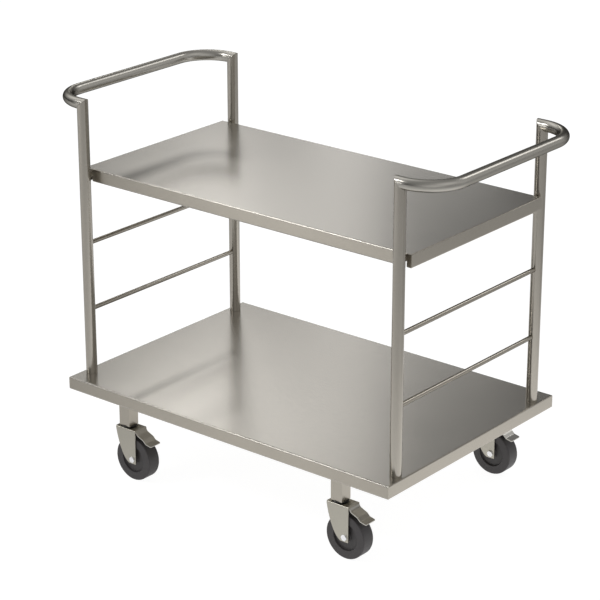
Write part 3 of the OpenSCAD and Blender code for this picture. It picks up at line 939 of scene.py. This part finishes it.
def axle_set(corner):
    """Bolt, nut, thread, sleeve and pivot pin of one caster, as one piece."""
    low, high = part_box(corner + "_axle_set")
    hub_low, hub_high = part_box(corner + "_wheel_core")
    wheel = (hub_low + hub_high) / 2
    centre = Vector((wheel.x, 0, wheel.z))
    head_face, bolt_end = low.y, high.y
    nut_start = bolt_end - BOLT_PAST_NUT - NUT_HEIGHT
    sleeve_half = (nut_start - head_face - HEAD_HEIGHT) / 2 - FORK_SHEET
    pin_centre = Vector((high.x - PIVOT_RADIUS, 0, high.z - PIVOT_RADIUS))
    bm = hexagon(centre, head_face + HEAD_HEIGHT, head_face)
    add_shape(bm, hexagon(centre, nut_start, nut_start + NUT_HEIGHT, chamfer_both=True))
    add_shape(bm, turned(rod_profile(
        SHANK_RADIUS, head_face + SHANK_START, bolt_end, SHANK_CHAMFER), centre))
    add_shape(bm, turned(sleeve_profile(wheel.y, sleeve_half), centre))
    add_shape(bm, grow(thread_tree, [(centre.x, bolt_end - THREAD_SHOWN, centre.z)], [], {
        "Turns": THREAD_TURNS, "Pitch": THREAD_PITCH,
        "Thread radius": BOLT_RADIUS - THREAD_DEPTH, "Depth": THREAD_DEPTH,
        "Finish": bright_zinc}))
    add_shape(bm, turned(rod_profile(
        PIVOT_RADIUS, wheel.y - PIVOT_REACH, wheel.y + PIVOT_REACH, PIVOT_CHAMFER), pin_centre))
    return finish_piece(corner + "_axle_set_visual", bm, corner + "_swivel", [bright_zinc],
                        [corner + "_axle_set"], sharp=28)


axles = [axle_set(corner) for corner in CORNERS]
print("axle faces", [len(a.data.polygons) for a in axles])

# %% [markdown]
# The wheel is two mouldings turned about the axle: a rubber tyre with a flat tread and
# rounded shoulders, and a plastic core sunk between them, with a raised hub. Cylinders with
# the Bevel modifier would round every edge alike. A profile of radius against width gives
# every inner and outer corner its own arc, as a mould would leave it.

# %% Wheels
WHEEL_RADIUS = 50 * MM
WHEEL_HALF = 16 * MM
TYRE_FOOT = 30.0 * MM
TYRE_SHOULDER = 31.2 * MM
TYRE_GAP = 0.05 * MM
CORE_RADIUS = 28 * MM
WEB_HALF = 11.2 * MM
HUB_RADIUS = 10 * MM
HUB_HALF = 16.5 * MM
BORE_RADIUS = 6.58 * MM
FILLET_STEPS = 5
WHEEL_STEPS = 96


def fillets(corners):
    """Rounds the corners of a closed profile: each is (radius, along, fillet)."""
    points = []
    for i, (r, t, fillet) in enumerate(corners):
        here = Vector((r, t))
        if not fillet:
            points.append((r, t))
            continue
        before = (Vector(corners[i - 1][:2]) - here).normalized()
        after = (Vector(corners[(i + 1) % len(corners)][:2]) - here).normalized()
        start, end = here + before * fillet, here + after * fillet
        for k in range(FILLET_STEPS + 1):
            s = k / FILLET_STEPS
            point = start * (1 - s) ** 2 + here * 2 * s * (1 - s) + end * s ** 2
            points.append((point.x, point.y))
    return points


def both_sides(half):
    """Closes a half profile with its mirror image."""
    return half + [(r, -t, f) for r, t, f in reversed(half)]


TYRE = both_sides([
    (CORE_RADIUS + TYRE_GAP, WEB_HALF, 0), (TYRE_FOOT, WEB_HALF, 0.7 * MM),
    (TYRE_SHOULDER, WHEEL_HALF, 0.6 * MM), (WHEEL_RADIUS, WHEEL_HALF, 2.4 * MM)])
CORE = both_sides([
    (BORE_RADIUS, HUB_HALF, 0.4 * MM), (HUB_RADIUS, HUB_HALF, 0.8 * MM),
    (HUB_RADIUS, WEB_HALF, 1.6 * MM), (CORE_RADIUS, WEB_HALF, 0)])

for corner in CORNERS:
    for part, profile, finish in (("tyre", TYRE, tyre_grey), ("core", CORE, core_grey)):
        node = f"{corner}_wheel_{part}"
        low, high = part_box(node)
        bm = turned(fillets(profile), (low + high) / 2, WHEEL_STEPS)
        finish_piece(node + "_visual", bm, corner + "_wheel", [finish], [node], sharp=40)
print("wheel profiles", len(fillets(TYRE)), len(fillets(CORE)))

# %% [markdown]
# The remaining pieces are pressed, bent or cut to shapes that the CAD model already has in
# full: the forks and pedals, the rails and channel, and the small parts inside the casters.
# Building them again would only add mistakes. `polished` joins the loose triangles of the CAD
# mesh and softens its edges, so light runs smoothly over the folds of the fork and pedal.

# %% Pieces that keep the CAD shape
PRESSED_EDGE = 0.25 * MM
CHANNEL_EDGE = 0.3 * MM
CUT_EDGE = 0.6 * MM

polished("top_shelf_stiffener", "frame", rail_steel, CHANNEL_EDGE)
for rail in ("centre_rail", *RAILS_ALONG_Y):
    polished(rail, "frame", rail_steel, CUT_EDGE)
for corner in CORNERS:
    polished(corner + "_post_plug", "frame", plug_black, CUT_EDGE)
    polished(corner + "_kingpin", "frame", dull_zinc)
    polished(corner + "_fixed_race", "frame", race_painted_shade_black)
    polished(corner + "_fork", corner + "_swivel", fork_steel, PRESSED_EDGE)
    polished(corner + "_brake_pedal", corner + "_pedal", pedal_steel, PRESSED_EDGE)
print("polished copies done")

# %% [markdown]
# The trolley was photographed on a white sweep. More light would turn the floor white, but
# it would bleach the steel too. So the camera sees a floor that is white by itself, through
# Is Camera Ray, with the trolley's soft shadow left on it. Steel shows its surroundings, and
# what its reflections see is set apart: a pale floor that the lamps light, which glows under
# the trolley and to its right.

# %% Floor
FLOOR_HALF = 30.0
FLOOR_COLOR = 0.20
FLOOR_WHITE = 0.94
FLOOR_REFLECTED = 0.80
FLOOR_GLOW = 0.70
FLOOR_GLOW_REACH = 0.8
FLOOR_GLOW_AT = (0.35, 0.20, 0.0)


def floor_glow(tree):
    """A round patch of light that fades with the distance from its middle."""
    place = step(tree, "ShaderNodeNewGeometry", {})["Position"]
    away = step(
        tree, "ShaderNodeVectorMath", {0: place, 1: FLOOR_GLOW_AT}, operation="DISTANCE")["Value"]
    share = math_node(tree, "DIVIDE", away, FLOOR_GLOW_REACH)
    fall = math_node(tree, "MULTIPLY", math_node(tree, "MULTIPLY", share, share), -0.5)
    level = math_node(tree, "MULTIPLY", math_node(tree, "EXPONENT", fall), FLOOR_GLOW)
    return step(tree, "ShaderNodeEmission", {"Strength": level})[0]


def floor_material():
    """White with a shadow to the camera, and pale with a glow to a reflection."""
    material = bpy.data.materials.new("floor_white")
    material.use_nodes = True
    tree = material.node_tree
    tree.nodes.clear()
    pale = step(tree, "ShaderNodeBsdfDiffuse", {"Color": (*[FLOOR_REFLECTED] * 3, 1)})[0]
    reflected = step(tree, "ShaderNodeAddShader", {0: pale, 1: floor_glow(tree)})[0]
    lit = step(tree, "ShaderNodeBsdfDiffuse", {"Color": (*[FLOOR_COLOR] * 3, 1)})[0]
    white = step(tree, "ShaderNodeEmission", {"Strength": FLOOR_WHITE})[0]
    seen = step(tree, "ShaderNodeAddShader", {0: lit, 1: white})[0]
    camera_ray = step(tree, "ShaderNodeLightPath", {})["Is Camera Ray"]
    shown = step(tree, "ShaderNodeMixShader", {0: camera_ray, 1: reflected, 2: seen})[0]
    step(tree, "ShaderNodeOutputMaterial", {"Surface": shown})
    return material


floor_mesh = bpy.data.meshes.new("floor")
floor_mesh.from_pydata(
    [(x * FLOOR_HALF, y * FLOOR_HALF, 0) for x, y in ((-1, -1), (1, -1), (1, 1), (-1, 1))],
    [], [(0, 1, 2, 3)])
floor = bpy.data.objects.new("floor", floor_mesh)
bpy.context.scene.collection.objects.link(floor)
floor_mesh.materials.append(floor_material())
print("floor", floor.name)

# %% [markdown]
# Plain steel is usually photographed among large fill panels and pale walls, which it shows
# as soft changes of tone. Lamps could stand for them, but many dim lamps make a noisy
# picture. So the world itself glows: it is lighter overhead and in a few broad patches. A
# patch is a power of how nearly a direction faces it, and a higher power makes it smaller.
# The camera sees plain white there.

# %% World
WORLD_GLOWS = [
    # azimuth, elevation, sharpness, strength
    (0, 90, 1, 0.344),
    (45, 0, 4, 0.656),
    (135, 0, 4, 0.544),
    (90, 40, 12, 0.44),
    (165, 38, 140, 3.7),
    (255, 40, 12, 1.12),
]

world = bpy.data.worlds.new("studio")
bpy.context.scene.world = world
world.use_nodes = True
tree = world.node_tree
tree.nodes.clear()
direction = step(tree, "ShaderNodeTexCoord", {})["Generated"]
level = 0.0
for azimuth, elevation, sharpness, strength in WORLD_GLOWS:
    facing = step(
        tree, "ShaderNodeVectorMath", {0: direction, 1: toward(azimuth, elevation)},
        operation="DOT_PRODUCT")["Value"]
    glow = math_node(tree, "POWER", math_node(tree, "MAXIMUM", facing, 0.0), sharpness)
    level = math_node(tree, "ADD", level, math_node(tree, "MULTIPLY", glow, strength))
camera_ray = step(tree, "ShaderNodeLightPath", {})["Is Camera Ray"]
shown = step(tree, "ShaderNodeMapRange", {"Value": camera_ray, "To Min": level, "To Max": 1.0})[0]
background = step(tree, "ShaderNodeBackground", {"Color": (1, 1, 1, 1), "Strength": shown})[0]
step(tree, "ShaderNodeOutputWorld", {"Surface": background})
print("world glows", len(WORLD_GLOWS))

# %% [markdown]
# Seven soft panels light the steel. The five keys behind and to the left stand where the
# shelves mirror them towards the camera, so they draw the pale band across each shelf. The
# two smallest throw the shadows of the handle and the rods on it: two thin dark arcs on the
# top shelf, one from each. The two edge lamps stand to the front left. The low one gives the
# folded front sides their slow change of tone, and the high one draws a bright line along
# the fold itself. The world could hold these too, but only a lamp throws a clear shadow.

# %% Lamps
LAMPS = [
    # name, azimuth, elevation, distance, size, power
    ("key_upper_line", 226.9, 29.2, 6.3, 0.5, 8.0),
    ("key_lower_line", 224.4, 21.9, 6.3, 0.5, 0.6),
    ("key_wide", 220, 26, 6.0, 0.9, 2.7),
    ("key_low", 220, 20, 6.0, 0.9, 1.35),
    ("key_right", 214, 14, 6.0, 0.9, 2.6),
    ("edge_front_left", 325, 12, 5.0, 1.2, 16.5),
    ("edge_fold", 316, 40, 5.0, 1.0, 42.0),
]
LAMP_AIM = Vector((0, 0, 0.45))


def area_lamp(name, azimuth, elevation, distance, size, power):
    """A soft square panel that faces the trolley and is not seen by the camera."""
    light = bpy.data.lights.new(name, "AREA")
    light.shape = "SQUARE"
    light.size = size
    light.energy = power
    lamp = bpy.data.objects.new(name, light)
    bpy.context.scene.collection.objects.link(lamp)
    back = toward(azimuth, elevation)
    lamp.location = LAMP_AIM + back * distance
    lamp.rotation_mode = "QUATERNION"
    lamp.rotation_quaternion = (-back).to_track_quat("-Z", "Y")
    lamp.visible_camera = False
    return lamp


lamps = [area_lamp(*values) for values in LAMPS]
print("lamps", len(lamps))

# %% [markdown]
# The Standard view shows each colour about as it is written.

# %% Finish
bpy.context.scene.view_settings.view_transform = "Standard"
